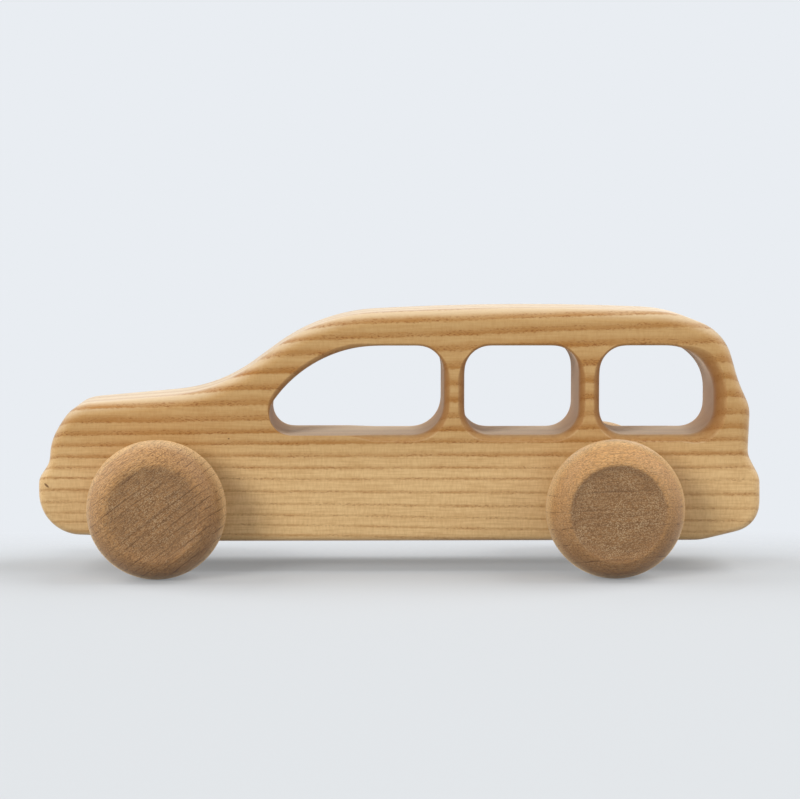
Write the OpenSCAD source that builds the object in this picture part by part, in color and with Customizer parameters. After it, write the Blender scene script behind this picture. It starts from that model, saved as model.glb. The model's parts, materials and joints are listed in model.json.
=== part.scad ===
// Wooden toy bus: one board sawn to a long-nosed bus outline with three open windows,
// rolling on two wheelsets. Each wheelset is a dowel axle with a turned wheel glued on each end.
//
// X runs from the nose (-X) to the tail (+X), Y across the board and Z up from the floor.
// The toy's left side is -Y. The origin is on the floor under the middle of the toy.
//
// The body's outline and windows are drawn as corner points with a radius at each corner.
// A setback is measured from the bumper at that end, a height from the belly.

/* [Body board] */
// Length from bumper to bumper
body_length = 200; // [190:1:230]
// Thickness of the board
board = 30; // [20:1:44]
// Radius of the round-over along every sawn edge
edge_round = 2.5; // [1:0.1:2.7]
// Height of the axle holes above the belly
axle_rise = 10.5; // [8:0.5:14]
// Setback of the front axle from the nose
front_axle_setback = 33.6; // [28:0.1:40]
// Distance between the two axles
wheelbase = 124.8; // [110:0.1:130]

/* [Bumpers and belly] */
// Height of the upper corner of both bumpers
bumper_height = 17.5; // [15:0.5:20]
// Radius of that corner
bumper_round = 4; // [2:0.5:6]
// Radius of the hollow above each bumper
notch_round = 5; // [2:0.5:7]
// Radius under the front bumper
chin_round = 11.7; // [6:0.1:13]
// Rise of the underside at the front bumper
chin_lift = 1.8; // [0.5:0.1:3]
// Length of the flat under the front bumper
chin_length = 14; // [12:0.5:18]
// Length of the ramp from there to the belly
chin_ramp = 11; // [6:0.5:16]
// Radius under the rear bumper
tail_round = 8; // [3:0.5:11]
// Rise of the underside at the rear bumper
tail_lift = 4; // [1:0.1:6]
// Length of the ramp from the belly to the rear bumper
tail_ramp = 16.5; // [12:0.5:20]
// Radius where the belly meets its ramps
belly_round = 15; // [5:1:25]

/* [Nose and hood] */
// Setback of the nose above the front bumper
nose_step = 3.1; // [1:0.1:5]
// Rise from the bumper's corner to the hollow above it
nose_notch_rise = 4.5; // [3:0.1:6]
// Height where the nose starts to lean back
nose_height = 27.8; // [26:0.1:31]
// Radius of the nose there
nose_round = 15; // [5:1:20]
// Setback of the hood's front corner
hood_setback = 9.5; // [7:0.5:14]
// Height of the hood's front corner
hood_height = 38; // [35:0.5:41]
// Radius of the hood's front corner
hood_round = 9; // [4:0.5:12]
// Setback of the hollow where the hood meets the windscreen
cowl_setback = 49; // [44:0.5:54]
// Rise of the hood from its front corner to that hollow
hood_rise = 3.5; // [1:0.1:6]
// Radius of that hollow
cowl_round = 43; // [20:1:50]

/* [Roof and tail] */
// Height at which the two roof slopes would meet
crown_height = 65.4; // [60:0.1:76]
// Setback of the roof's crown from the nose
crown_setback = 134; // [120:1:150]
// Radius of the roof's crown
crown_round = 750; // [300:10:900]
// Length of the windscreen's slope along X
windscreen_length = 28.8; // [22:0.1:36]
// Drop from the crown to the roof's front corner
roof_front_drop = 2.7; // [1:0.1:5]
// Radius of the roof's front corner
roof_front_round = 52; // [30:1:60]
// Setback from the tail where the roof starts to fall
fall_setback = 24.5; // [20:0.5:30]
// Drop from the crown to where the roof starts to fall
fall_drop = 1.8; // [1:0.1:3]
// Radius where the roof starts to fall
fall_round = 36; // [15:1:45]
// Setback of the roof's rear corner from the tail
rear_corner_setback = 10.1; // [8:0.1:13]
// Drop from the crown to the roof's rear corner
rear_corner_drop = 7.5; // [5:0.1:10]
// Radius of the roof's rear corner
rear_corner_round = 14; // [6:0.5:18]
// Setback of the tail's waist
waist_setback = 6.2; // [5:0.1:8]
// Height of the tail's waist
waist_height = 44.3; // [42:0.1:47]
// Radius of the tail's waist
waist_round = 30; // [10:1:40]
// Setback of the tail's shoulder
shoulder_setback = 2.8; // [2:0.1:4]
// Height of the tail's shoulder
shoulder_height = 36.9; // [34:0.1:39]
// Radius of the tail's shoulder
shoulder_round = 8; // [3:0.5:12]
// Setback of the hollow between the tail and the rear bumper
tail_step = 3.4; // [1.5:0.1:5]
// Rise from the bumper's corner to that hollow
tail_notch_rise = 6.3; // [4:0.1:9]

/* [Windows] */
// Height of the window sills
sill_height = 29.5; // [26:0.5:34]
// Depth of wood from the crown to the window heads
roof_rail = 11.1; // [9:0.1:16]
// Length of wood from the rear window to the tail bumper
rear_quarter = 12.9; // [11:0.1:18]
// Length of the rear window
rear_window = 31.9; // [24:0.1:36]
// Width of the two pillars between the windows
pillar = 5.8; // [5.6:0.1:9]
// Length of the middle window
middle_window = 31.6; // [24:0.1:36]
// Length of wood from the windscreen's slope to the front window, along its head
front_post = 9.5; // [8:0.1:14]
// How much further forward the front window's foot reaches
foot_reach = 17.7; // [8:0.1:20]
// Radius of the windows' square corners
window_round = 7; // [3:0.5:9]
// Radius of the front window's lower rear corner
front_sill_round = 8.5; // [3:0.5:10]
// Radius of the front window's sloping corner
windscreen_round = 36; // [12:1:40]
// Radius of the front window's pointed foot
windscreen_foot_round = 6; // [3:0.5:7]
// Radius of the rear window's upper rear corner
rear_window_round = 13.5; // [5:0.5:15]

/* [Wheels] */
// Diameter of the wheels
wheel_diameter = 38; // [32:1:44]
// Width of the wheels
wheel_width = 20; // [14:1:22]
// Width of the rounded rim, measured along the radius
rim_width = 5.8; // [4:0.1:7]
// Width of the flat lip between the rim and the dish
dish_lip = 0.2; // [0.1:0.1:2]
// Depth of the dish
dish_depth = 1.2; // [0.5:0.1:2]
// Radius of the hollow around the dish's floor
dish_round = 4; // [2.5:0.5:6]
// Gap between each wheel and the board
wheel_gap = 1.5; // [0.5:0.1:3]

/* [Axles] */
// Diameter of the axle dowels
axle_diameter = 8; // [6:0.5:10]
// Chamfer on the dowel ends
axle_chamfer = 0.6; // [0.3:0.1:1]
// Thickness of wood between the dish and the blind hole for the dowel
socket_wall = 6.8; // [4:0.1:9]
// Space left behind the dowel in that hole
socket_end_gap = 0.5; // [0.2:0.1:1]
// Radial gap for glue around the dowel in the wheel
glue_gap = 0.03; // [0.02:0.01:0.1]
// Radial running clearance of the dowel in the board
running_gap = 0.08; // [0.05:0.01:0.1]

/* [Hidden] */

ash = "#c9a26b";
alder = "#b08557";
birch = "#d6b98c";

// Largest distance between a drawn arc and the true one
arc_sag = 0.03;
// Flats in each quarter of the round-over
round_steps = 5;
// How far a cutting shape runs past the face that it cuts
past = 1;
// Smoothness of the true round shapes
$fn = 96;

LEFT = -1;
RIGHT = 1;

wheel_radius = wheel_diameter / 2;
face_radius = wheel_radius - rim_width;
dish_radius = face_radius - dish_lip;
socket_depth = wheel_width - dish_depth - socket_wall;
axle_radius = axle_diameter / 2;
axle_length = board + 2 * (wheel_gap + socket_depth - socket_end_gap);
nose = -body_length / 2;
tail = body_length / 2;
belly = wheel_radius - axle_rise;
bumper_top = belly + bumper_height;
hood_front = belly + hood_height;
crown = belly + crown_height;
sill = belly + sill_height;
head = crown - roof_rail;
front_axle_x = nose + front_axle_setback;
rear_axle_x = front_axle_x + wheelbase;

// The windscreen's slope runs from the cowl up to the roof's front corner
cowl = [nose + cowl_setback, hood_front + hood_rise];
roof_front = [cowl[0] + windscreen_length, crown - roof_front_drop];
windscreen_at_head = cowl[0] + windscreen_length * (head - cowl[1]) / (roof_front[1] - cowl[1]);

// Window ends, worked forward from the tail
rear_window_end = tail - rear_quarter;
middle_window_end = rear_window_end - rear_window - pillar;
front_window_end = middle_window_end - middle_window - pillar;
front_window_start = windscreen_at_head + front_post;

// Corners are [x, z, radius], anticlockwise as seen from the toy's left side
body_corners = [
    [nose + chin_length, belly + chin_lift, belly_round],
    [nose + chin_length + chin_ramp, belly, belly_round],
    [tail - tail_ramp, belly, belly_round],
    [tail, belly + tail_lift, tail_round],
    [tail, bumper_top, bumper_round],
    [tail - tail_step, bumper_top + tail_notch_rise, notch_round],
    [tail - shoulder_setback, belly + shoulder_height, shoulder_round],
    [tail - waist_setback, belly + waist_height, waist_round],
    [tail - rear_corner_setback, crown - rear_corner_drop, rear_corner_round],
    [tail - fall_setback, crown - fall_drop, fall_round],
    [nose + crown_setback, crown, crown_round],
    [roof_front[0], roof_front[1], roof_front_round],
    [cowl[0], cowl[1], cowl_round],
    [nose + hood_setback, hood_front, hood_round],
    [nose + nose_step, belly + nose_height, nose_round],
    [nose + nose_step, bumper_top + nose_notch_rise, notch_round],
    [nose, bumper_top, bumper_round],
    [nose, belly + chin_lift, chin_round]
];

front_window_corners = [
    [front_window_end, sill, front_sill_round],
    [front_window_end, head, window_round],
    [front_window_start, head, windscreen_round],
    [front_window_start - foot_reach, sill, windscreen_foot_round]
];

middle_window_corners = [
    [middle_window_end, sill, window_round],
    [middle_window_end, head, window_round],
    [middle_window_end - middle_window, head, window_round],
    [middle_window_end - middle_window, sill, window_round]
];

rear_window_corners = [
    [rear_window_end, sill, window_round],
    [rear_window_end, head, rear_window_round],
    [rear_window_end - rear_window, head, window_round],
    [rear_window_end - rear_window, sill, window_round]
];

function unit(v) = v / norm(v);
function corner_point(corners, i) =
    let (c = corners[(i + len(corners)) % len(corners)]) [c[0], c[1]];
function cross_2d(a, b) = a[0] * b[1] - a[1] * b[0];

// Angle that the outline turns through at corner i: positive where it bulges
function turn(corners, i) =
    let (before = corner_point(corners, i) - corner_point(corners, i - 1),
         after = corner_point(corners, i + 1) - corner_point(corners, i))
    atan2(cross_2d(before, after), before * after);

// Length of straight that corner i's arc takes from each side of the corner
function reach(corners, i) =
    let (k = (i + len(corners)) % len(corners)) corners[k][2] * tan(abs(turn(corners, k)) / 2);

// Share of its radius that corner i can keep where two arcs would overlap on the side after it
function room(corners, i) =
    let (side = norm(corner_point(corners, i + 1) - corner_point(corners, i)))
    min(1, side / (reach(corners, i) + reach(corners, i + 1)));

// The arc at corner i as [point, outward normal] pairs
function corner_arc(corners, i) =
    let (angle = turn(corners, i),
         way = sign(angle),
         radius = corners[i][2] * min(room(corners, i), room(corners, i - 1)),
         here = corner_point(corners, i),
         before = unit(here - corner_point(corners, i - 1)),
         start = here - before * radius * tan(abs(angle) / 2),
         first = [before[1], -before[0]],
         centre = start - first * radius * way,
         step = 2 * acos(1 - arc_sag / radius),
         count = max(1, ceil(abs(angle) / step)))
    [for (k = [0 : count])
        let (a = angle * k / count,
             normal = [first[0] * cos(a) - first[1] * sin(a), first[0] * sin(a) + first[1] * cos(a)])
        [centre + normal * radius * way, normal]];

function outline(corners) = [for (i = [0 : len(corners) - 1]) each corner_arc(corners, i)];
function middle(points) = [for (p = points) 1 / len(points)] * points;

// Rings of a rounded edge as [share of the round-over taken off the outline, y], from left to right
function edge_rings() =
    let (left = [for (k = [0 : round_steps])
                    [1 - sin(90 * k / round_steps),
                     -board / 2 + edge_round * (1 - cos(90 * k / round_steps))]])
    concat(left, [for (k = [round_steps : -1 : 0]) [left[k][0], -left[k][1]]]);

// A solid through a row of rings. Each ring is the outline moved in by its share of inset.
module lofted(path, rings, inset, hub) {
    count = len(path);
    last = len(rings) - 1;
    points = [for (ring = rings) each
                [for (p = path)
                    let (q = p[0] - p[1] * inset * ring[0]) [q[0], ring[1], q[1]]]];
    hubs = [for (ring = [rings[0], rings[last]]) [hub[0], ring[1], hub[1]]];
    left_hub = len(points);
    walls = [for (j = [0 : last - 1]) each
                [for (i = [0 : count - 1])
                    let (a = j * count + i, b = j * count + (i + 1) % count)
                    each [[a, b, a + count], [b, b + count, a + count]]]];
    caps = [for (i = [0 : count - 1])
                let (a = i, b = (i + 1) % count)
                each [[left_hub, b, a], [left_hub + 1, last * count + a, last * count + b]]];
    polyhedron(concat(points, hubs), concat(walls, caps));
}

// The board sawn to its outline, with every edge rounded over
module rounded_board() {
    // A point from which the whole outline can be seen
    hub = [roof_front[0], bumper_top + nose_notch_rise];
    lofted(outline(body_corners), edge_rings(), edge_round, hub);
}

// The hole of one window, flared at both faces by the round-over
module window_hole(corners) {
    rings = edge_rings();
    ends = [[1, -board / 2 - past], [1, board / 2 + past]];
    path = outline(corners);
    lofted(path, concat([ends[0]], rings, [ends[1]]), -edge_round, middle([for (p = path) p[0]]));
}

module across(x, length, radius) {
    translate([x, 0, wheel_radius]) rotate([90, 0, 0]) cylinder(h = length, r = radius, center = true);
}

module body() {
    color(ash) difference() {
        rounded_board();
        window_hole(front_window_corners);
        window_hole(middle_window_corners);
        window_hole(rear_window_corners);
        for (x = [front_axle_x, rear_axle_x])
            across(x, board + 2 * past, axle_radius + running_gap);
    }
}

module axle(x) {
    half = axle_length / 2;
    tip = axle_radius - axle_chamfer;
    color(birch) translate([x, 0, wheel_radius]) rotate([90, 0, 0]) rotate_extrude()
        polygon([[0, -half], [tip, -half], [axle_radius, -half + axle_chamfer],
                 [axle_radius, half - axle_chamfer], [tip, half], [0, half]]);
}

// Half section of a wheel: radius along X, width along Y from the back to the outer face
module wheel_section() {
    tread_round = (rim_width * rim_width + wheel_width * wheel_width / 4) / (2 * rim_width);
    dish_floor = wheel_width - dish_depth;
    floor_radius = dish_radius - sqrt(2 * dish_round * dish_depth - dish_depth * dish_depth);
    difference() {
        intersection() {
            square([wheel_radius, wheel_width]);
            union() {
                square([wheel_radius - tread_round, wheel_width]);
                translate([wheel_radius - tread_round, wheel_width / 2]) circle(tread_round);
            }
        }
        translate([0, dish_floor]) square([floor_radius, dish_depth + past]);
        intersection() {
            translate([0, dish_floor]) square([dish_radius, dish_depth]);
            translate([floor_radius, dish_floor + dish_round]) circle(dish_round);
        }
        translate([0, -past]) square([axle_radius + glue_gap, socket_depth + past]);
    }
}

module wheel(x, side) {
    color(alder) translate([x, side * (board / 2 + wheel_gap), wheel_radius])
        rotate([-90 * side, 0, 0]) rotate_extrude() wheel_section();
}

body();
axle(front_axle_x);  // front_axle
axle(rear_axle_x);  // rear_axle
wheel(front_axle_x, LEFT);  // front_left_wheel
wheel(front_axle_x, RIGHT);  // front_right_wheel
wheel(rear_axle_x, LEFT);  // rear_left_wheel
wheel(rear_axle_x, RIGHT);  // rear_right_wheel
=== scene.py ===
# %% [markdown]
# # A wooden toy bus
# The toy is one thick ash board sawn to a long-nosed bus outline, with three windows sawn through it.
# It rolls on four turned wheels, glued in pairs on two dowels. The construction model already gives
# each piece its size, place and joint, so this lesson only makes the surfaces: what the sandpaper
# rounded, what the lathe turned, and what the wood and its oil do with light.

# %% Load the construction model
import json
import math

import bmesh
import bpy
from mathutils import Matrix, Vector
from mathutils.kdtree import KDTree

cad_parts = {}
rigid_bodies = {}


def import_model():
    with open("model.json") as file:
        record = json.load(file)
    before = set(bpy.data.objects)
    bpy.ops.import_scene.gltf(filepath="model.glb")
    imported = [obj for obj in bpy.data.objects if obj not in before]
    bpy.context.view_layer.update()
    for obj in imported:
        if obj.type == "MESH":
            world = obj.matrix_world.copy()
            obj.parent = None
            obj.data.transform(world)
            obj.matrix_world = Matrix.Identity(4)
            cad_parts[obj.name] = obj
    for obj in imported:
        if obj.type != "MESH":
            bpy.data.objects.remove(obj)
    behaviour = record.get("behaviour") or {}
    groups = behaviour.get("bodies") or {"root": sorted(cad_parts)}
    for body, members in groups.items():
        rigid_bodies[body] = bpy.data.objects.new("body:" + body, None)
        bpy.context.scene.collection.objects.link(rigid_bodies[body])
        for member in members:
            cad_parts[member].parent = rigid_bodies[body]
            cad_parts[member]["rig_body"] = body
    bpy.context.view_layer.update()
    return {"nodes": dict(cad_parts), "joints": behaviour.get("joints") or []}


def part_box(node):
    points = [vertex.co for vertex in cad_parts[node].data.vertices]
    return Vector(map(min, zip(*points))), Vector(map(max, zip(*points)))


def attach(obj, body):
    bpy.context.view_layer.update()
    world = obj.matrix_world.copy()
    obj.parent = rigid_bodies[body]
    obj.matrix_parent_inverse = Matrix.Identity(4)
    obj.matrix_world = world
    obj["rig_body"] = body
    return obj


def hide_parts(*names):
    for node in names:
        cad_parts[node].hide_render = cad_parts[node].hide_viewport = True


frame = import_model()
MM = 0.001
print("pieces:", ", ".join(sorted(frame["nodes"])))

# %% [markdown]
# ## The camera
# The camera stands a good half metre away with a long lens, almost level with the toy and aimed a
# little down, so the roof and the window sills show as thin bands. A long lens from further off keeps
# the two axles at nearly the same scale, as a product picture does.

# %% Place the camera
IMAGE_WIDTH_PX = 800
FOCAL_PX = 2399
CAMERA_PLACE = (-9.6 * MM, -673.8 * MM, 104.7 * MM)
LOOK_DOWN = math.radians(4.92)
TURN_RIGHT = math.radians(0.83)
NEAREST_SEEN = 10 * MM

lens = bpy.data.cameras.new("camera")
lens.lens = FOCAL_PX / IMAGE_WIDTH_PX * lens.sensor_width
lens.clip_start = NEAREST_SEEN
camera = bpy.data.objects.new("camera", lens)
camera.location = CAMERA_PLACE
camera.rotation_euler = (math.pi / 2 - LOOK_DOWN, 0, -TURN_RIGHT)
scene = bpy.context.scene
scene.collection.objects.link(camera)
scene.camera = camera
print("lens", round(lens.lens, 1), "mm")

# %% [markdown]
# ## Helpers for pieces and finishes
# Colours are written as the hex values that a colour picker shows. Blender mixes light in linear
# numbers, so one function converts them. Another adds a shader node, sets its options, fills or wires
# its sockets and hands back the output that the next node needs, which keeps each material readable as
# a list of steps.


# %% Colour, node and object helpers
def linear(hex_colour):
    """An sRGB hex colour as linear red, green, blue and alpha."""
    shares = [int(hex_colour[i : i + 2], 16) / 255 for i in (1, 3, 5)]
    return [c / 12.92 if c <= 0.04045 else ((c + 0.055) / 1.055) ** 2.4 for c in shares] + [1]


def add(tree, kind, sockets=None, out=0, **options):
    """Adds a shader node and returns one of its outputs, or None for a node that has none.

    A socket is given a value, or another node's output to be wired to.
    """
    node = tree.nodes.new("ShaderNode" + kind)
    for name, value in options.items():
        setattr(node, name, value)
    for name, value in (sockets or {}).items():
        if isinstance(value, bpy.types.NodeSocket):
            tree.links.new(value, node.inputs[name])
        else:
            node.inputs[name].default_value = value
    return node.outputs[out] if len(node.outputs) else None


def new_material(name):
    """An empty material and its node tree."""
    material = bpy.data.materials.new(name)
    material.use_nodes = True
    material.node_tree.nodes.clear()
    return material, material.node_tree


def make_piece(name, bm, material):
    """Turns a bmesh in mm into an object in metres, with its place in its mesh."""
    bmesh.ops.scale(bm, verts=bm.verts[:], vec=(MM, MM, MM))
    mesh = bpy.data.meshes.new(name)
    bm.to_mesh(mesh)
    bm.free()
    mesh.materials.append(material)
    piece = bpy.data.objects.new(name, mesh)
    scene.collection.objects.link(piece)
    print(name, len(mesh.vertices), "vertices,", len(mesh.polygons), "faces")
    return piece


print("a screen's middle grey is", round(linear("#808080")[0], 2), "of white in linear light")

# %% [markdown]
# ## Ash, sanded and oiled
# Ash is a pale wood with open pores. Each year it starts with a row of large pores, the earlywood,
# and on a planed face these rows show as brown dashed lines along the grain. The board was cut so that
# the rings cross its side as nearly level lines, about one every 3 to 5 mm, a little wider apart
# towards the roof. A picture of wood would smear round the edges, so the rings are solid: a formula
# turns any point of the board into a ring number. The sawn roof and the rounded edges then cut through
# the rings by themselves and show the tapering flames that real boards show there.

# %% Lay the grain through the board
RING_TILT = 0.42            # mm that the rings climb per mm through the board's thickness
FAN_HEIGHT = 30             # the rings are level at this height in mm, and fan out from it
FAN_REACH = 1000            # mm towards the tail in which the fan doubles the rings' spacing
WANDER = 0.5                # mm that slow waves of the grain lift or lower a ring
WAVE_SIZE = (45, 14, 14)    # mm along, through and up the board
NOISE_MIDDLE = 0.5
# Octaves of a noise: with more of them it shows more small detail
PLAIN, SOFT, FINE = 1, 2, 3


def place_in_mm(tree):
    """Where on its piece a point lies, in mm."""
    metres = add(tree, "TexCoord", out="Object")
    return add(tree, "VectorMath", {0: metres, "Scale": 1 / MM}, operation="SCALE")


def drawn_noise(tree, place, size, octaves):
    """Noise in blotches of this size in mm along the three axes of the wood."""
    drawn = add(tree, "VectorMath", {0: place, 1: size}, operation="DIVIDE")
    return add(tree, "TexNoise", {"Vector": drawn, "Scale": 1, "Detail": octaves})


ash, tree = new_material("ash_sanded_and_oiled")
board_low, board_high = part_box("body")
near_face = board_low.y / MM
place = place_in_mm(tree)
along, through, up = add(tree, "SeparateXYZ", {0: place}).node.outputs
spread = add(tree, "Math", {0: along, 1: 1 / FAN_REACH, 2: 1}, operation="MULTIPLY_ADD")
from_level = add(tree, "Math", {0: up, 1: FAN_HEIGHT}, operation="SUBTRACT")
fanned = add(tree, "Math", {0: from_level, 1: spread}, operation="DIVIDE")
depth = add(tree, "Math", {0: through, 1: near_face}, operation="SUBTRACT")
tilted = add(tree, "Math", {0: depth, 1: RING_TILT, 2: fanned}, operation="MULTIPLY_ADD")
waves = drawn_noise(tree, place, WAVE_SIZE, SOFT)
lift = add(tree, "Math", {0: waves, 1: NOISE_MIDDLE}, operation="SUBTRACT")
wavy = add(tree, "Math", {0: lift, 1: 2 * WANDER, 2: tilted}, operation="MULTIPLY_ADD")
grain_height = add(tree, "Math", {0: wavy, 1: FAN_HEIGHT}, operation="ADD")
print("grain laid from the near face at", round(near_face, 1), "mm, with", len(tree.nodes), "nodes")

# %% Count the growth rings
# Heights of the year rings on the near side of the board, in mm, from the belly up to the roof
RING_HEIGHTS = (9.8, 12.6, 15.4, 18.6, 22.3, 26.0, 29.1, 32.4, 36.0, 39.3, 43.0, 47.5, 51.9, 56.4,
                61.4, 65.5, 69.5)
RING_SPAN = 100             # the curve that counts the rings takes a height as a share of this many mm

last_ring = len(RING_HEIGHTS) - 1
share = add(tree, "Math", {0: grain_height, 1: 1 / RING_SPAN}, operation="MULTIPLY")
counted = add(tree, "FloatCurve", {"Value": share})
counter = counted.node.mapping
counter.use_clip = False
counter.extend = "EXTRAPOLATED"
steps = [(height / RING_SPAN, i / last_ring) for i, height in enumerate(RING_HEIGHTS)]
points = counter.curves[0].points
points[0].location = steps[0]
points[1].location = steps[-1]
for step in steps[1:-1]:
    points.new(*step)
for point in points:
    point.handle_type = "VECTOR"
counter.update()
rings = add(tree, "Math", {0: counted, 1: last_ring}, operation="MULTIPLY")
gaps = [round(upper - lower, 1) for lower, upper in zip(RING_HEIGHTS, RING_HEIGHTS[1:])]
print(len(points), "rings,", min(gaps), "to", max(gaps), "mm apart")

# %% [markdown]
# Pores, fibres and rays are all made in one way: noise is drawn out along the wood to their size and
# then cut off between two levels, so that they come and go as real grain does. Pores are short dark
# dashes, which show in runs along a ring. Fibres are fine threads along the grain, and rays are short
# flecks across it. The brown of the rings is weak in some patches and strong in others, and the saw
# left blotches on the window walls.

# %% The patterns of the ash's grain
# Size in mm along, through and up the board, octaves, the levels of the noise at which a pattern begins
# and is full, and its strengths there. Real fibres and rays are too fine to show, and pores are a little
# narrower, so they are drawn coarser here
ASH_GRAIN = {
    "pores": ((0.9, 0.32, 0.32), SOFT, (0.5, 0.58), (0, 1)),
    "runs": ((8, 3, 1.6), SOFT, (0.38, 0.58), (0.2, 1)),
    "patches": ((22, 10, 4), FINE, (0.32, 0.68), (0.1, 0.6)),
    "fibres": ((7, 0.4, 0.4), FINE, (0.42, 0.7), (0, 0.3)),
    "rays": ((0.45, 0.45, 1.8), FINE, (0.4, 0.65), (0, 0.17)),
    "saw_marks": ((1.6, 1.6, 1.6), FINE, (0.45, 0.75), (0.18, 0.5)),
}


def grain_pattern(tree, place, size, octaves, levels, strengths):
    """Drawn noise that grows from one strength to another between two of its levels."""
    noise = drawn_noise(tree, place, size, octaves)
    return add(tree, "MapRange", {"Value": noise, "From Min": levels[0], "From Max": levels[1],
                                  "To Min": strengths[0], "To Max": strengths[1]})


ash_grain = {name: grain_pattern(tree, place, *numbers) for name, numbers in ASH_GRAIN.items()}
print("ash grain:", ", ".join(ash_grain))

# %% [markdown]
# The brown of a ring is sharp below, where the year begins, and fades upwards, further in the young wood
# towards the roof. Pores never lie in a ruled line, so the ring trembles a little along its length. The
# wide young rings also have a second row of pores just above the first.

# %% The brown of each ring
OLD_RING, YOUNG_RING = 5.5, 9.0     # the wood turns from old to young between these rings
TREMBLE = 0.24              # how far a line trembles, as a share of the ring
TREMBLE_SIZE = (1.1, 0.8, 0.8)
SHARP_SIDE = 0.18           # how far the brown fades downwards, as a share of the ring
OLD_FADE = 0.22             # how far it fades upwards near the belly
YOUNG_FADE = 0.62           # and towards the roof
YOUNG_BROWN = 0.4           # how much stronger it is there

young = add(tree, "MapRange", {"Value": rings, "From Min": OLD_RING, "From Max": YOUNG_RING})
tremble = drawn_noise(tree, place, TREMBLE_SIZE, SOFT)
shaky = add(tree, "Math", {0: tremble, 1: TREMBLE, 2: rings}, operation="MULTIPLY_ADD")
trembling = add(tree, "Math", {0: shaky, 1: TREMBLE / 2}, operation="SUBTRACT")
in_ring = add(tree, "Math", {0: trembling}, operation="FRACT")
fade_up = add(tree, "MapRange", {"Value": young, "To Min": OLD_FADE, "To Max": YOUNG_FADE})
above_line = add(tree, "MapRange", {"Value": in_ring, "From Max": fade_up, "To Min": 1, "To Max": 0},
                 interpolation_type="SMOOTHSTEP")
below_line = add(tree, "MapRange", {"Value": in_ring, "From Min": 1 - SHARP_SIDE},
                 interpolation_type="SMOOTHSTEP")
band = add(tree, "Math", {0: above_line, 1: below_line}, operation="MAXIMUM")
strength = add(tree, "Math", {0: young, 1: YOUNG_BROWN, 2: ash_grain["patches"]},
               operation="MULTIPLY_ADD")
brown = add(tree, "Math", {0: band, 1: strength}, operation="MULTIPLY")
print("brown fades up over", OLD_FADE, "of an old ring and", YOUNG_FADE, "of a young one")

# %% The rows of pores
HALF_RING = 0.5
# Shares of the ring from the middle of a row to where it begins to thin and where it ends
FIRST_ROW_CORE, FIRST_ROW_END = 0.02, 0.17
SECOND_ROW_CORE, SECOND_ROW_END = 0.02, 0.09
SECOND_ROW = 0.2            # how far it lies above the first, as a share of the ring
SECOND_ROW_STRENGTH = 0.8
OLD_PORES = 0.45            # how dark pores are near the belly
YOUNG_PORES = 0.35          # and how much darker towards the roof

# Counting to and fro by half a ring gives the distance to the nearest line
from_line = add(tree, "Math", {0: trembling, 1: HALF_RING}, operation="PINGPONG")
first_row = add(tree, "MapRange", {"Value": from_line, "From Min": FIRST_ROW_CORE,
                                   "From Max": FIRST_ROW_END, "To Min": 1, "To Max": 0},
                interpolation_type="SMOOTHSTEP")
above_second = add(tree, "Math", {0: in_ring, 1: SECOND_ROW}, operation="SUBTRACT")
from_second = add(tree, "Math", {0: above_second}, operation="ABSOLUTE")
second_row = add(tree, "MapRange", {"Value": from_second, "From Min": SECOND_ROW_CORE,
                                    "From Max": SECOND_ROW_END, "To Min": SECOND_ROW_STRENGTH, "To Max": 0})
young_row = add(tree, "Math", {0: second_row, 1: young}, operation="MULTIPLY")
rows = add(tree, "Math", {0: first_row, 1: young_row}, operation="MAXIMUM")
in_runs = add(tree, "Math", {0: rows, 1: ash_grain["runs"]}, operation="MULTIPLY")
pores = add(tree, "Math", {0: ash_grain["pores"], 1: in_runs}, operation="MULTIPLY")
darkness = add(tree, "Math", {0: young, 1: YOUNG_PORES, 2: OLD_PORES}, operation="MULTIPLY_ADD")
dark_pores = add(tree, "Math", {0: pores, 1: darkness}, operation="MULTIPLY")
print("pores in rows, with", len(tree.nodes), "nodes so far")

# %% [markdown]
# Not every face of the board was treated alike. Faces that cut across the grain drink more oil and turn
# browner, most of all the raw walls of the windows, which the board's mesh marks as routed. There the
# saw marks show and the rings less. The sills, the routed faces that look up, are tinted browner, and a
# painted highlight pales the other faces that look up, most of all the roof and hood.

# %% Sawn faces, browner sills and a painted highlight on top
ROUTED_BROWN = 0.7          # share of the rings' brown that shows on a routed face
SANDED_THIRST, ROUTED_THIRST = 0.12, 0.95   # how brown oil turns end grain
# How far up a face looks where each tint begins and where it is full, and how strong it then is: first
# the painted highlight on the faces that look up, then the browner sills
TOP_SHEEN_FROM, TOP_SHEEN_FULL, TOP_SHEEN = 0.1, 0.8, 0.4
SILL_FROM, SILL_FULL, SILL_TINT = 0.3, 0.9, 0.17

routed = add(tree, "Attribute", out="Fac", attribute_name="routed")
showing = add(tree, "MapRange", {"Value": routed, "To Min": 1, "To Max": ROUTED_BROWN})
ring_brown = add(tree, "Math", {0: brown, 1: showing}, operation="MULTIPLY")
normal = add(tree, "TexCoord", out="Normal")
looks_along, _, looks_up = add(tree, "SeparateXYZ", {0: normal}).node.outputs
across_grain = add(tree, "Math", {0: looks_along}, operation="ABSOLUTE")
thirst = add(tree, "MapRange", {"Value": routed, "To Min": SANDED_THIRST, "To Max": ROUTED_THIRST})
end_grain = add(tree, "Math", {0: across_grain, 1: thirst}, operation="MULTIPLY")
saw_marks = add(tree, "Math", {0: ash_grain["saw_marks"], 1: routed}, operation="MULTIPLY")
# The routed faces that look up, the sills, are tinted browner
sill = add(tree, "MapRange", {"Value": looks_up, "From Min": SILL_FROM, "From Max": SILL_FULL,
                              "To Max": SILL_TINT})
browner_sills = add(tree, "Math", {0: sill, 1: routed}, operation="MULTIPLY")
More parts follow.
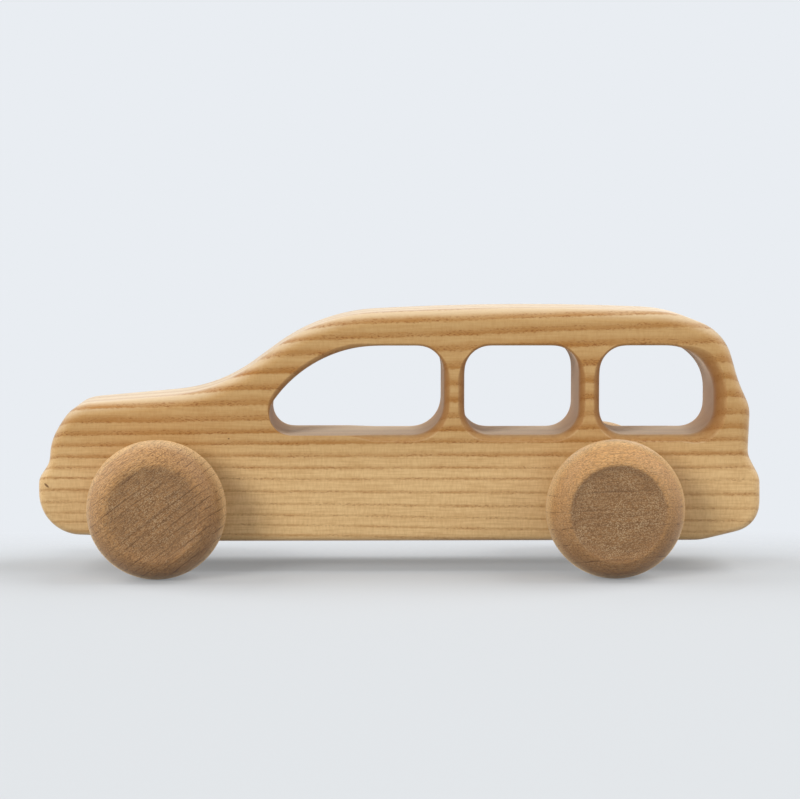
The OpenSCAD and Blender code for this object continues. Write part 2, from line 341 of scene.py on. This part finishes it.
# Painted highlight: the faces that look up, most of all the roof and hood, are paled
top_sheen_ramp = add(tree, "MapRange", {"Value": looks_up, "From Min": TOP_SHEEN_FROM, "From Max": TOP_SHEEN_FULL,
                                  "To Max": TOP_SHEEN}, interpolation_type="SMOOTHSTEP")
outside = add(tree, "Math", {0: 1, 1: routed}, operation="SUBTRACT")
painted_top_sheen = add(tree, "Math", {0: top_sheen_ramp, 1: outside}, operation="MULTIPLY")
print("faces told apart, with", len(tree.nodes), "nodes so far")

# %% [markdown]
# Two small specks of bark grew into the near side. Each is an egg of dark wood that the face cuts through.
# A point is taken into the speck's own axes, in which the egg is a ball of radius 1, so its distance from
# the middle says whether it lies inside.

# %% Specks of bark
# Place along and up the near side, half length and half width in mm, and slope in degrees
BARK_SPECKS = ((-97.6, 24.3, 1.0, 0.36, 43), (-47.3, 37.2, 0.32, 0.24, 0))
BARK_DEPTH = 1.0            # mm into the board
BARK_CORE = 0.6             # share of a speck that is fully dark
BARK_TINT = 0.85

bark = []
for x, z, half_length, half_width, lean in BARK_SPECKS:
    in_speck = add(tree, "Mapping", {"Vector": place, "Location": (x, near_face, z),
                                     "Rotation": (0, math.radians(lean), 0),
                                     "Scale": (half_length, BARK_DEPTH, half_width)}, vector_type="TEXTURE")
    from_speck = add(tree, "VectorMath", {0: in_speck}, out="Value", operation="LENGTH")
    bark.append(add(tree, "MapRange", {"Value": from_speck, "From Min": BARK_CORE,
                                       "To Min": BARK_TINT, "To Max": 0}))
print(len(bark), "specks of bark")

# %% [markdown]
# The colour is built up as a stain is, one tint over another. Sanded and oiled ash has a low, soft gloss,
# and the routed faces are rougher. Short raised fibres whiten the wood where the eye skims over it, which
# is what the shader's sheen does. The pores lie a little below the surface, so light catches in them.

# %% Stain the ash
ASH_PALE = "#e9c48c"
ASH_WARM = "#d0a86f"        # the young wood towards the roof
ASH_BAND = "#ac742e"        # the brown of rings, fibres and rays
ASH_PORE = "#8e5418"
ASH_END = "#9a6530"         # oiled end grain and the browner sills
ASH_BARK = "#6b4216"
# Painted highlight on the faces that look up
ASH_TOP_SHEEN = "#dfd3b8"
# Socket numbers of a colour mix, and its result
FACTOR, UNDER, OVER, MIXED = 0, 6, 7, 2


def stain(tree, colour, layers):
    """Lays tints over a colour, one after another, each by its own amount."""
    for amount, tint in layers:
        sockets = {FACTOR: amount, UNDER: colour, OVER: linear(tint)}
        colour = add(tree, "Mix", sockets, out=MIXED, data_type="RGBA")
    return colour


# One tint, on the faces that look up, is a painted highlight
ash_layers = [(young, ASH_WARM), (ash_grain["fibres"], ASH_BAND), (ash_grain["rays"], ASH_BAND),
              (painted_top_sheen, ASH_TOP_SHEEN), (ring_brown, ASH_BAND), (end_grain, ASH_END), (browner_sills, ASH_END),
              (saw_marks, ASH_END), (dark_pores, ASH_PORE), *((speck, ASH_BARK) for speck in bark)]
ash_colour = stain(tree, linear(ASH_PALE), ash_layers)
print("ash:", len(ash_layers), "tints")

# %% Give the ash its surface
SANDED_ROUGHNESS = 0.38
ROUTED_ROUGHNESS = 0.58
PORE_DEPTH = 0.05           # mm
PORE_RELIEF = 0.15          # how strongly that depth tells in the light
WOOD_IOR = 1.5
ASH_FUZZ = "#fff0d8"        # raised fibres

sunken = add(tree, "Math", {0: pores, 1: -1}, operation="MULTIPLY")
relief = add(tree, "Bump", {"Height": sunken, "Strength": PORE_RELIEF, "Distance": PORE_DEPTH * MM})
rough = add(tree, "MapRange", {"Value": routed, "To Min": SANDED_ROUGHNESS, "To Max": ROUTED_ROUGHNESS})
ash_surface = add(tree, "BsdfPrincipled", {"Base Color": ash_colour, "Roughness": rough, "IOR": WOOD_IOR,
                                           "Sheen Weight": 0.7, "Sheen Roughness": 0.45,
                                           "Sheen Tint": linear(ASH_FUZZ), "Normal": relief})
add(tree, "OutputMaterial", {"Surface": ash_surface})
print("ash:", len(tree.nodes), "nodes")

# %% [markdown]
# ## The board
# The body was sawn from one board, the windows were run round with a cutter, and the outside was sanded
# by hand, more along the roof and the hood than along the belly. A copy of the construction mesh is cut
# through its middle, which leaves the bare outline of the saw cut: the bus, its three windows and the
# two axle holes. The outline is divided finely and relaxed a little, filled, and pushed out to a board.
# Modelling it afresh from its outline gives clean rows of faces along every edge, which a rounded edge
# needs, and which a construction mesh of long thin triangles doesn't have.

# %% Cut the outline from the construction mesh
# Blender's mesh tools are tuned for things metres in size, so pieces are modelled in mm and shrunk last
WELD = 0.001                # mm within which two points are one

board = bmesh.new()
board.from_mesh(frame["nodes"]["body"].data)
bmesh.ops.scale(board, verts=board.verts[:], vec=(1 / MM, 1 / MM, 1 / MM))
bmesh.ops.remove_doubles(board, verts=board.verts[:], dist=WELD)
everything = board.verts[:] + board.edges[:] + board.faces[:]
bmesh.ops.bisect_plane(board, geom=everything, plane_co=(0, 0, 0), plane_no=(0, 1, 0),
                       clear_inner=True, clear_outer=True)
print("section:", len(board.edges), "edges")

# %% Divide the sawn outline finely and relax it
OUTLINE_STEP = 0.8          # mm
RELAX_PASSES = 4
SANDING_STRENGTH = 0.5      # how far one pass draws a point towards the middle of its neighbours
NEAR_AXLE = 5               # mm from an axle's middle, which takes in its hole and no other edge
axle_places = [Vector(joint["pos_m"]) / MM for joint in frame["joints"]]


def by_an_axle(point):
    """Whether a point of the board lies in or on an axle hole."""
    return any(math.hypot(point.x - p.x, point.z - p.z) < NEAR_AXLE for p in axle_places)


sawn = [v for v in board.verts if not by_an_axle(v.co)]
bmesh.ops.remove_doubles(board, verts=sawn, dist=OUTLINE_STEP / 2)
long_edges = [e for e in board.edges if e.calc_length() > OUTLINE_STEP]
while long_edges:
    bmesh.ops.subdivide_edges(board, edges=long_edges, cuts=1)
    long_edges = [e for e in board.edges if e.calc_length() > OUTLINE_STEP]
sawn = [v for v in board.verts if not by_an_axle(v.co)]
for _ in range(RELAX_PASSES):
    bmesh.ops.smooth_vert(board, verts=sawn, factor=SANDING_STRENGTH, use_axis_x=True, use_axis_z=True)
print("outline:", len(sawn), "points")


# %% Fill the outline and push it out to a board
def closed_loops(edges):
    """Sorts edges into the separate loops that they form, the longest first."""
    loose = set(edges)
    loops = []
    while loose:
        loop = [loose.pop()]
        for e in loop:
            for other in [n for p in e.verts for n in p.link_edges if n in loose]:
                loose.discard(other)
                loop.append(other)
        loops.append(loop)
    return sorted(loops, key=len, reverse=True)


thickness = (board_high.y - board_low.y) / MM
holes = closed_loops(board.edges)[1:]
bmesh.ops.triangle_fill(board, edges=board.edges[:], use_beauty=True, normal=(0, -1, 0))
for hole in holes:
    bmesh.ops.edgeloop_fill(board, edges=hole)
bmesh.ops.translate(board, verts=board.verts[:], vec=(0, -thickness / 2, 0))
pushed = bmesh.ops.extrude_face_region(board, geom=board.faces[:], use_keep_orig=True)["geom"]
far_points = [p for p in pushed if isinstance(p, bmesh.types.BMVert)]
bmesh.ops.translate(board, verts=far_points, vec=(0, thickness, 0))
bmesh.ops.recalc_face_normals(board, faces=board.faces[:])
print("board:", len(holes), "holes filled for now,", len(board.faces), "faces")

# %% [markdown]
# The outside edge is rounded last, by a bevel. A bevel slides its new points along the edges that run
# away from the corner, so each side first gets a flat margin whose edges all stand square to the outline.
# Every edge of the outline carries a bevel weight: full along the roof and hood, about half along the
# belly.

# %% Lay a flat margin along the outline and weigh its edges
TOP_EDGE = 3.7              # mm of round-over along the roof and the hood
BELLY_EDGE = 2.0            # and along the belly
MARGIN = 3.8                # mm, a little more than the round-over needs
EVEN_BELOW = 14             # heights in mm between which the round-over grows
FULL_ABOVE = 42
SIDEWAYS = 0.5              # how far a face looks sideways to belong to a flat side
SHARP = math.radians(45)    # edges that turn more than this are corners of the board

for way in (-1, 1):
    flat_side = [f for f in board.faces if f.normal.y * way > SIDEWAYS]
    bmesh.ops.inset_region(board, faces=flat_side, use_even_offset=True, thickness=MARGIN)
bevel_weight = board.edges.layers.float.new("bevel_weight_edge")
corners = [e for e in board.edges if e.calc_face_angle(0) > SHARP]
for e in corners:
    edge_height = (e.verts[0].co.z + e.verts[1].co.z) / 2
    growth = min(1, max(0, (edge_height - EVEN_BELOW) / (FULL_ABOVE - EVEN_BELOW)))
    e[bevel_weight] = (BELLY_EDGE + (TOP_EDGE - BELLY_EDGE) * growth) / TOP_EDGE
print("weighted:", len(corners), "edges")

# %% [markdown]
# A round cutter run a little too deep round a window leaves a fine crease on the flat side, and the
# slope then steepens until it meets the sawn wall. The filled window is grown by the width of that
# slope, sunk in small insets along the arc, and cut away. The last loops of both sides are bridged.

# %% Mould the windows
SLOPE_WIDTH = 1.9           # mm
SLOPE_START = math.radians(25)
SLOPE_STEPS = 6
cutter_radius = SLOPE_WIDTH / (1 - math.sin(SLOPE_START))
slope_angles = [SLOPE_START + (math.pi / 2 - SLOPE_START) * k / SLOPE_STEPS for k in range(SLOPE_STEPS + 1)]

# Only the filled windows and axle holes have more than four corners
panes = [f for f in board.faces if len(f.verts) > 4]
bores = [f for f in panes if by_an_axle(f.verts[0].co)]
windows = [f for f in panes if f not in bores]
grown = bmesh.ops.inset_region(board, faces=windows, use_even_offset=True, use_outset=True,
                               use_boundary=False, thickness=SLOPE_WIDTH)["faces"]
sunk = set(windows + grown)
creases = {e for f in grown for e in f.edges if sum(n in sunk for n in e.link_faces) == 1}
routed_layer = board.verts.layers.float.new("routed")
moulded = set()
for here, there in zip(slope_angles, slope_angles[1:]):
    slope = bmesh.ops.inset_region(board, faces=list(sunk), use_even_offset=True, use_boundary=False,
                                   thickness=cutter_radius * (math.sin(there) - math.sin(here)),
                                   depth=cutter_radius * (math.cos(there) - math.cos(here)))["faces"]
    moulded.update(p for f in slope for p in f.verts)
for p in moulded:
    p[routed_layer] = 1 if abs(p.co.y) < thickness / 2 - WELD else 0
print("moulded:", len(moulded), "points in", SLOPE_STEPS, "steps")

# %% [markdown]
# The cutter went deep between the windows and along the sills, and only touched the window heads and
# the front window's slanted end, least at its foot. There the slope is drawn back towards the sawn
# wall, in width and in depth alike, so that it keeps its curve. At the tail end of the rear window
# sandpaper widened it.

# %% Ease the moulding and open the windows
# Share of the full slope at each place, and where along or up the toy that place begins, in mm
HEAD_TOUCH, HEAD = 0.35, 54
SLANT_TOUCH, SLANT = 0.75, -7
FOOT_TOUCH, FOOT = 0.1, 50
TAIL_TOUCH, TAIL = 1.7, 78
EASE = 7                    # mm over which one touch turns into the next


def taken_over(inside):
    """How far the next touch has taken over, from 0 to 1, this many mm inside its place."""
    return min(1, max(0, inside / EASE))


sawn_wall = KDTree(sum(len(f.verts) for f in windows))
for i, p in enumerate(p for f in windows for p in f.verts):
    sawn_wall.insert((p.co.x, 0, p.co.z), i)
sawn_wall.balance()
for p in moulded:
    slant_touch = SLANT_TOUCH + (FOOT_TOUCH - SLANT_TOUCH) * taken_over(FOOT - p.co.z)
    touch = 1 + (HEAD_TOUCH - 1) * taken_over(p.co.z - HEAD)
    touch += (slant_touch - touch) * taken_over(SLANT - p.co.x)
    touch += (TAIL_TOUCH - touch) * taken_over(p.co.x - TAIL)
    wall, _, _ = sawn_wall.find((p.co.x, 0, p.co.z))
    surface = math.copysign(thickness / 2, p.co.y)
    p.co = Vector((wall.x, surface, wall.z)).lerp(p.co, touch)
bmesh.ops.delete(board, geom=list(sunk) + bores, context="FACES_KEEP_BOUNDARY")
open_loops = closed_loops([e for e in board.edges if e.is_boundary])
open_loops.sort(key=lambda loop: sum(e.verts[0].co.x for e in loop) / len(loop))
for near_loop, far_loop in zip(open_loops[::2], open_loops[1::2]):
    bmesh.ops.bridge_loops(board, edges=near_loop + far_loop)
print("opened:", len(windows) // 2, "windows and", len(bores) // 2, "axle holes")

# %% Shade and round the board
ROUND_STEPS = 8

for f in board.faces:
    f.smooth = True
bore_rims = [e for loop in open_loops for e in loop if by_an_axle(e.verts[0].co)]
for e in [*creases, *bore_rims]:
    e.smooth = False
body = make_piece("ash_body", board, ash)
round_over = body.modifiers.new("round_over", "BEVEL")
round_over.limit_method = "WEIGHT"
round_over.width = TOP_EDGE * MM
round_over.segments = ROUND_STEPS
round_over.use_clamp_overlap = False
round_over.harden_normals = True
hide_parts("body")
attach(body, "body")

# %% [markdown]
# ## Alder, turned
# The wheels are a browner, closer wood with faint rings and tiny flecks, like alder. Each was turned
# from its own scrap of plank, so the grain runs another way on each one, and one side of it may come from
# the paler sapwood, which is partly painted light from above. Every wheel carries its own plank
# coordinates, in mm, so one material serves all four and the grain rolls with the wheel. Further marks on
# its points say how its wood differs, where it has dulled, and where a painted highlight pales the crown
# of its tread.

# %% What every point of a wheel carries
# ring: mm across the growth rings, half_gap: half the mm between two grain lines, figure: strength of the
# streaks and flecks, pale: how pale the wood is, from sapwood and in part from painted light, then the
# painted highlight on the crown of the tread, dish: how far it dulled
WHEEL_MARKS = ("ring", "half_gap", "figure", "pale", "crown_highlight", "dish")

alder, tree = new_material("alder_turned")
plank = add(tree, "Attribute", out="Vector", attribute_name="plank")
marks = {name: add(tree, "Attribute", out="Fac", attribute_name=name) for name in WHEEL_MARKS}
print("alder reads plank,", ", ".join(marks))

# %% [markdown]
# Alder's grain lines are thin and broken, wander a little, and all but vanish in the sapwood. Between
# them lie fine streaks and short flecks. Pale sanding dust sits in the scratches, in patches, and more of
# it stays in the dish than on the rim.

# %% The patterns of the alder's grain
# Size in mm along, through and up the plank, octaves, levels and strengths, as for the ash. Sanding
# scratches are drawn coarser than real ones so that they show
ALDER_GRAIN = {
    "unbroken": ((18, 1.5, 1.5), SOFT, (0.4, 0.62), (0.08, 0.95)),
    "streaks": ((9, 0.38, 0.38), FINE, (0.4, 0.65), (0, 0.48)),
    "flecks": ((0.9, 0.25, 0.25), PLAIN, (0.46, 0.66), (0, 0.65)),
    "scratches": ((0.3, 0.22, 0.22), PLAIN, (0.47, 0.63), (0, 1)),
    "dust_patches": ((6, 4, 4), PLAIN, (0.4, 0.68), (0.28, 0.52)),
}

alder_grain = {name: grain_pattern(tree, plank, *numbers) for name, numbers in ALDER_GRAIN.items()}
print("alder grain:", ", ".join(alder_grain))

# %% Grain lines, figure and dust
LINE_WIDTH = 0.22           # mm from the middle of a grain line to where it has faded out
LINE_WAVE = 1.7             # mm that the lines wander
LINE_WAVE_SIZE = (22, 7, 7)
HEARTWOOD, SAPWOOD = 0.3, 0.9       # how pale the wood is where its lines begin and end to fade
SAPWOOD_LINE = 0.1          # how much of a line is left there
RIM_DUST = 0.55             # share of the dish's dust that stays on the rim

line_waves = drawn_noise(tree, plank, LINE_WAVE_SIZE, SOFT)
wavy_ring = add(tree, "Math", {0: line_waves, 1: LINE_WAVE, 2: marks["ring"]}, operation="MULTIPLY_ADD")
off_line = add(tree, "Math", {0: wavy_ring, 1: marks["half_gap"]}, operation="PINGPONG")
thin_line = add(tree, "MapRange", {"Value": off_line, "From Max": LINE_WIDTH, "To Min": 1, "To Max": 0},
                interpolation_type="SMOOTHSTEP")
broken_line = add(tree, "Math", {0: thin_line, 1: alder_grain["unbroken"]}, operation="MULTIPLY")
heartwood = add(tree, "MapRange", {"Value": marks["pale"], "From Min": HEARTWOOD, "From Max": SAPWOOD,
                                   "To Min": 1, "To Max": SAPWOOD_LINE})
grain_line = add(tree, "Math", {0: broken_line, 1: heartwood}, operation="MULTIPLY")
streaks = add(tree, "Math", {0: alder_grain["streaks"], 1: marks["figure"]}, operation="MULTIPLY")
flecks = add(tree, "Math", {0: alder_grain["flecks"], 1: marks["figure"]}, operation="MULTIPLY")
settled = add(tree, "MapRange", {"Value": marks["dish"], "To Min": RIM_DUST})
held = add(tree, "Math", {0: alder_grain["dust_patches"], 1: settled}, operation="MULTIPLY")
dust = add(tree, "Math", {0: alder_grain["scratches"], 1: held}, operation="MULTIPLY")
print("alder lines", 2 * LINE_WIDTH, "mm wide, with", len(tree.nodes), "nodes so far")

# %% [markdown]
# Bare turned wood is close and only a little glossy. Raised fibres catch the light along a wheel's
# outline, where the eye skims over them, and the sheen and a painted highlight on the crown of the tread
# give that pale edge.

# %% Colour the alder and give it its surface
ALDER_RIM = "#a87b4c"
# Pale wood: sapwood, and in part painted light from above
ALDER_PALE = "#daa669"
# Painted highlight along the crown of the tread
ALDER_CROWN_HIGHLIGHT = "#f7d09a"
ALDER_DISH = "#90683f"
ALDER_LINE = "#5f3d20"
ALDER_DUST = "#e0c49a"
ALDER_FUZZ = "#f2cf9c"

# The crown's tint is a painted highlight, and the pale tint is partly painted light
alder_layers = [(marks["pale"], ALDER_PALE), (marks["crown_highlight"], ALDER_CROWN_HIGHLIGHT), (marks["dish"], ALDER_DISH),
                (streaks, ALDER_LINE), (flecks, ALDER_LINE), (dust, ALDER_DUST), (grain_line, ALDER_LINE)]
alder_colour = stain(tree, linear(ALDER_RIM), alder_layers)
alder_surface = add(tree, "BsdfPrincipled", {"Base Color": alder_colour, "Roughness": 0.42, "IOR": WOOD_IOR,
                                             "Sheen Weight": 1.0, "Sheen Roughness": 0.2,
                                             "Sheen Tint": linear(ALDER_FUZZ)})
add(tree, "OutputMaterial", {"Surface": alder_surface})
print("alder:", len(alder_layers), "tints,", len(tree.nodes), "nodes")

# %% [markdown]
# ## The wheels
# A wheel is a bun of wood: a full round tread, and a shallow dish in the outer face, with a sanded edge.
# It was turned, and spinning half a section round the axle is the same job in Blender. The section's own
# curves are spun too, from a single point each, so the tread and the hollow of the dish are true arcs.

# %% The turned section
RIM_WIDTH = 5.8             # sizes in mm
DISH_DEPTH = 1.2
CREST_REACH = 4             # either side of the dish's edge that sanding reaches
SOCKET_DEPTH = 12
SOCKET_RADIUS = 4.03
TREAD_STEPS = 40
DISH_STEPS = 8


def spun_arc(bm, start, centre, angle, steps):
    """Spins one point round a centre in the section's plane and returns the arc's points in order."""
    first = bm.verts.new(start)
    before = set(bm.verts)
    bmesh.ops.spin(bm, geom=[first], cent=centre, axis=(0, 0, 1), angle=angle, steps=steps)
    return [first] + [p for p in bm.verts if p not in before]


def wheel_section(bm, radius, width, hollow, sanding):
    """Draws half a wheel, radius along X, from the back at Y 0 to the outer face.

    Returns the radius of that face, out to the dish's edge.
    """
    face_radius = radius - RIM_WIDTH
    tread_round = (RIM_WIDTH ** 2 + width ** 2 / 4) / (2 * RIM_WIDTH)
    tread_sweep = 2 * math.asin(width / 2 / tread_round)
    tread = spun_arc(bm, (face_radius, 0, 0), (radius - tread_round, width / 2, 0), tread_sweep, TREAD_STEPS)
    floor_radius = face_radius - math.sqrt(2 * hollow * DISH_DEPTH - DISH_DEPTH ** 2)
    dish_sweep = math.acos(1 - DISH_DEPTH / hollow)
    dish = spun_arc(bm, (face_radius, width, 0), (floor_radius, width - DISH_DEPTH + hollow, 0),
                    -dish_sweep, DISH_STEPS)
    hub = bm.verts.new((0, width - DISH_DEPTH, 0))
    mouth = bm.verts.new((SOCKET_RADIUS, 0, 0))
    bottom = bm.verts.new((SOCKET_RADIUS, SOCKET_DEPTH, 0))
    end = bm.verts.new((0, SOCKET_DEPTH, 0))
    for a, b in ((dish[-1], hub), (tread[0], mouth), (mouth, bottom), (bottom, end)):
        bm.edges.new((a, b))
    bmesh.ops.remove_doubles(bm, verts=bm.verts[:], dist=WELD)
    crest = [p for p in bm.verts if p.co.y > width / 2 and abs(p.co.x - face_radius) < CREST_REACH]
    for _ in range(sanding):
        bmesh.ops.smooth_vert(bm, verts=crest, factor=SANDING_STRENGTH, use_axis_x=True, use_axis_y=True)
    return face_radius


print("section: rim", RIM_WIDTH, "mm wide, dish", DISH_DEPTH, "mm deep")

# %% [markdown]
# A painted highlight pales the crown of each tread, and handling dulled the dish, which fades into the
# rim. These marks, and the place in the plank, are written on the wheel's points while its middle is still
# at the origin. They stay with the points, so the finish turns with the wheel.

# %% The marks of each wheel's wood
RING_LEAN = 0.1             # mm that the growth rings climb per mm through the wheel
CROWN_HIGHLIGHT = 0.95                 # how strongly the painted highlight pales the crown
CROWN_HIGHLIGHT_REACH = 1.8            # mm down from the crown that the painted highlight reaches
CROWN_HIGHLIGHT_CURVE = 1.5            # above 1 the painted highlight thins quickly near the crown
# For each wheel: the direction of its grain in degrees from level and its place along the plank in mm, the
# gap between its grain lines in mm and the strength of its figure, how dull its dish is and over how many
# mm that fades into the rim, how pale its wood is and how much paler towards the sapwood, both in part
# painted light from above, the radius of the dish's hollow in mm, and passes of sandpaper on its edge
WHEEL_WOOD = {
    "front_left_wheel": dict(grain=37, place=0, gap=2.1, figure=1.0, dull=0.7, fade=1.8,
                             pale=0.22, sapwood_and_lit_side=0.5, hollow=6, sanding=4),
    "rear_left_wheel": dict(grain=3, place=110, gap=4.6, figure=0.85, dull=0.9, fade=0.5,
                            pale=0.33, sapwood_and_lit_side=0.65, hollow=5, sanding=1),
    "front_right_wheel": dict(grain=-62, place=230, gap=2.6, figure=0.9, dull=0.8, fade=1.6,
                              pale=0.3, sapwood_and_lit_side=0.2, hollow=6, sanding=4),
    # Painted light: this far wheel is pale all over, for the light on its top
    "rear_right_wheel": dict(grain=78, place=340, gap=3.0, figure=0.7, dull=0.9, fade=1.2,
                             pale=1.0, sapwood_and_lit_side=0.1, hollow=6, sanding=3),
}


def mark_wood(wheel, wood, radius, width, face_radius):
    """Writes on every point of a wheel its place in the plank and what the material reads there."""
    plank_layer = wheel.verts.layers.float_vector.new("plank")
    layers = {name: wheel.verts.layers.float.new(name) for name in WHEEL_MARKS}
    grain_turn = Matrix.Rotation(math.radians(wood["grain"]), 3, "Y")
    for p in wheel.verts:
        in_plank = grain_turn @ p.co
        from_middle = p.co.xz.length
        from_crown = (radius - from_middle) / CROWN_HIGHLIGHT_REACH
        in_dish = min(1, max(0, (face_radius - from_middle) / wood["fade"]))
        p[plank_layer] = in_plank + Vector((wood["place"], 0, wood["place"]))
        p[layers["ring"]] = in_plank.z + RING_LEAN * in_plank.y
        p[layers["half_gap"]] = wood["gap"] / 2
        p[layers["figure"]] = wood["figure"]
        # Paler towards one side across the rings: partly sapwood, partly painted light from above
        p[layers["pale"]] = min(1, max(0, wood["pale"] + wood["sapwood_and_lit_side"] * in_plank.z / radius))
        # Painted highlight along the crown of the tread
        p[layers["crown_highlight"]] = CROWN_HIGHLIGHT * max(0, 1 - from_crown) ** CROWN_HIGHLIGHT_CURVE
        p[layers["dish"]] = wood["dull"] * in_dish if abs(p.co.y) > width / 2 else 0


print("wood for", ", ".join(WHEEL_WOOD))

# %% Turn the four wheels
TURN_STEPS = 144

for name, wood in WHEEL_WOOD.items():
    low, high = (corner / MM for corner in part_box(name))
    centre = (low + high) / 2
    side = math.copysign(1, centre.y)
    radius = (high.z - low.z) / 2
    width = high.y - low.y
    wheel = bmesh.new()
    face_radius = wheel_section(wheel, radius, width, wood["hollow"], wood["sanding"])
    bmesh.ops.spin(wheel, geom=wheel.verts[:] + wheel.edges[:], cent=(0, 0, 0), axis=(0, 1, 0),
                   angle=2 * math.pi, steps=TURN_STEPS, use_merge=True)
    bmesh.ops.remove_doubles(wheel, verts=wheel.verts[:], dist=WELD)
    bmesh.ops.scale(wheel, verts=wheel.verts[:], vec=(1, side, 1))
    mark_wood(wheel, wood, radius, width, face_radius)
    inner_face = low.y if side > 0 else high.y
    bmesh.ops.translate(wheel, verts=wheel.verts[:], vec=(centre.x, inner_face, centre.z))
    bmesh.ops.recalc_face_normals(wheel, faces=wheel.faces[:])
    for f in wheel.faces:
        f.smooth = True
    piece = make_piece("alder_" + name, wheel, alder)
    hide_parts(name)
    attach(piece, frame["nodes"][name]["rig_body"])

# %% [markdown]
# ## Birch dowels
# Each axle is a length of plain birch dowel, as sold by the metre: pale and close, with faint streaks
# along it and hardly any gloss. Only a sliver of it shows between the wheel and the board, and the
# construction mesh already has its shape, so it just gets its wood.

# %% The dowel material
BIRCH_PALE = "#d9bd92"
BIRCH_STREAK = "#b8925f"
BIRCH_STREAK_SIZE = (0.6, 18, 0.6)  # mm; a dowel's grain runs along Y

birch, tree = new_material("birch_dowel")
birch_streaks = drawn_noise(tree, place_in_mm(tree), BIRCH_STREAK_SIZE, FINE)
birch_colour = stain(tree, linear(BIRCH_PALE), [(birch_streaks, BIRCH_STREAK)])
birch_surface = add(tree, "BsdfPrincipled", {"Base Color": birch_colour, "Roughness": 0.55, "IOR": WOOD_IOR})
add(tree, "OutputMaterial", {"Surface": birch_surface})
for name in ("front_axle", "rear_axle"):
    axle = frame["nodes"][name]
    axle.data.materials[0] = birch
    print(name, "is", axle.data.materials[0].name)

# %% [markdown]
# ## Floor and backdrop
# The toy stands on matt white paper that turns up just behind it, without a corner. A round floor does
# that with no wall to build: it ends close behind the toy, where it fades into the backdrop's colour, and
# it keeps the soft shadow under the toy. To the eye the paper is nearly white, but what it throws back
# at the toy is dimmer, so the belly stays in shade.

# %% The paper
PAPER = "#cacdd0"
PAPER_LIT = "#e2e6e9"       # the same paper as the eye sees it under this light
PAPER_BOUNCE = "#a09f9b"    # what the toy gets back from it
SHADOW_FILL = 0.27          # share of the paper that shows no shadow
FLOOR_MIDDLE = (0, -1.0, 0)         # the floor's sizes are in m
FADE_FROM, FADE_TO = 1.005, 1.07    # how far from its middle the paper turns up into the backdrop


def seen_rays(tree):
    """One for rays that the eye follows: straight, mirrored or through glass. None for the others."""
    paths = add(tree, "LightPath").node.outputs
    mirrored = add(tree, "Math", {0: paths["Is Camera Ray"], 1: paths["Is Glossy Ray"]}, operation="MAXIMUM")
    return add(tree, "Math", {0: mirrored, 1: paths["Is Transmission Ray"]}, operation="MAXIMUM")


paper, tree = new_material("white_paper")
floor_place = add(tree, "TexCoord", out="Object")
off_middle = add(tree, "VectorMath", {0: floor_place, 1: FLOOR_MIDDLE}, out="Value", operation="DISTANCE")
fade = add(tree, "MapRange", {"Value": off_middle, "From Min": FADE_FROM, "From Max": FADE_TO})
shaded = add(tree, "BsdfDiffuse", {"Color": linear(PAPER)})
lit = add(tree, "Emission", {"Color": linear(PAPER_LIT)})
seen_paper = add(tree, "MixShader", {0: SHADOW_FILL, 1: shaded, 2: lit})
bounce = add(tree, "BsdfDiffuse", {"Color": linear(PAPER_BOUNCE)})
sheet = add(tree, "MixShader", {0: seen_rays(tree), 1: bounce, 2: seen_paper})
clear = add(tree, "BsdfTransparent")
faded_sheet = add(tree, "MixShader", {0: fade, 1: sheet, 2: clear})
add(tree, "OutputMaterial", {"Surface": faded_sheet})
print("paper:", len(tree.nodes), "nodes")

# %% Lay the floor
FLOOR_RADIUS = 1.08
FLOOR_CORNERS = 96

ground = bmesh.new()
bmesh.ops.create_circle(ground, cap_ends=True, radius=FLOOR_RADIUS / MM, segments=FLOOR_CORNERS)
bmesh.ops.translate(ground, verts=ground.verts[:], vec=Vector(FLOOR_MIDDLE) / MM)
floor = make_piece("floor", ground, paper)

# %% [markdown]
# ## The studio light
# Large soft boxes light a product from both sides, so the roof and both ends are bright and the shadows
# stay soft. A smaller lamp at the front left models the near side, and a weak one at the front right
# lifts its shade. The room itself adds an even, dim light. The eye sees the backdrop's colour in its
# place, so a pale background needs no extra light on the toy.

# %% The room
BACKDROP = "#e9edf2"
ROOM_LIGHT = "#ffffff"
AMBIENT = 0.3

world = bpy.data.worlds.new("studio")
scene.world = world
world.use_nodes = True
tree = world.node_tree
tree.nodes.clear()
room = add(tree, "Background", {"Color": linear(ROOM_LIGHT), "Strength": AMBIENT})
backdrop = add(tree, "Background", {"Color": linear(BACKDROP), "Strength": 1})
surroundings = add(tree, "MixShader", {0: seen_rays(tree), 1: room, 2: backdrop})
add(tree, "OutputWorld", {"Surface": surroundings})
print("room light", AMBIENT, "behind a backdrop of", BACKDROP)

# %% The lamps
# Compass angle from the front towards the left and angle up in degrees, distance and size in m, power in W
LAMPS = {
    "left_box": (105, 40, 2.0, 1.5, 23.0),
    "right_box": (-103, 47, 2.0, 1.6, 28.0),
    "front_lamp": (37, 22, 2.0, 0.75, 19.2),
    "right_fill": (-52, 25, 1.0, 0.5, 1.6),
}

for name, (compass, rise, distance, size, power) in LAMPS.items():
    aim = Matrix.Rotation(math.radians(-compass), 3, "Z") @ Matrix.Rotation(math.radians(-rise), 3, "X")
    light = bpy.data.lights.new(name, "AREA")
    light.energy = power
    light.size = size
    lamp = bpy.data.objects.new(name, light)
    lamp.location = aim @ Vector((0, -distance, 0))
    lamp.rotation_euler = (-lamp.location).to_track_quat("-Z", "Y").to_euler()
    lamp.visible_camera = False
    lamp.visible_glossy = False
    scene.collection.objects.link(lamp)
    print(name, power, "W at", [round(c, 2) for c in lamp.location])
scene.view_settings.view_transform = "Standard"
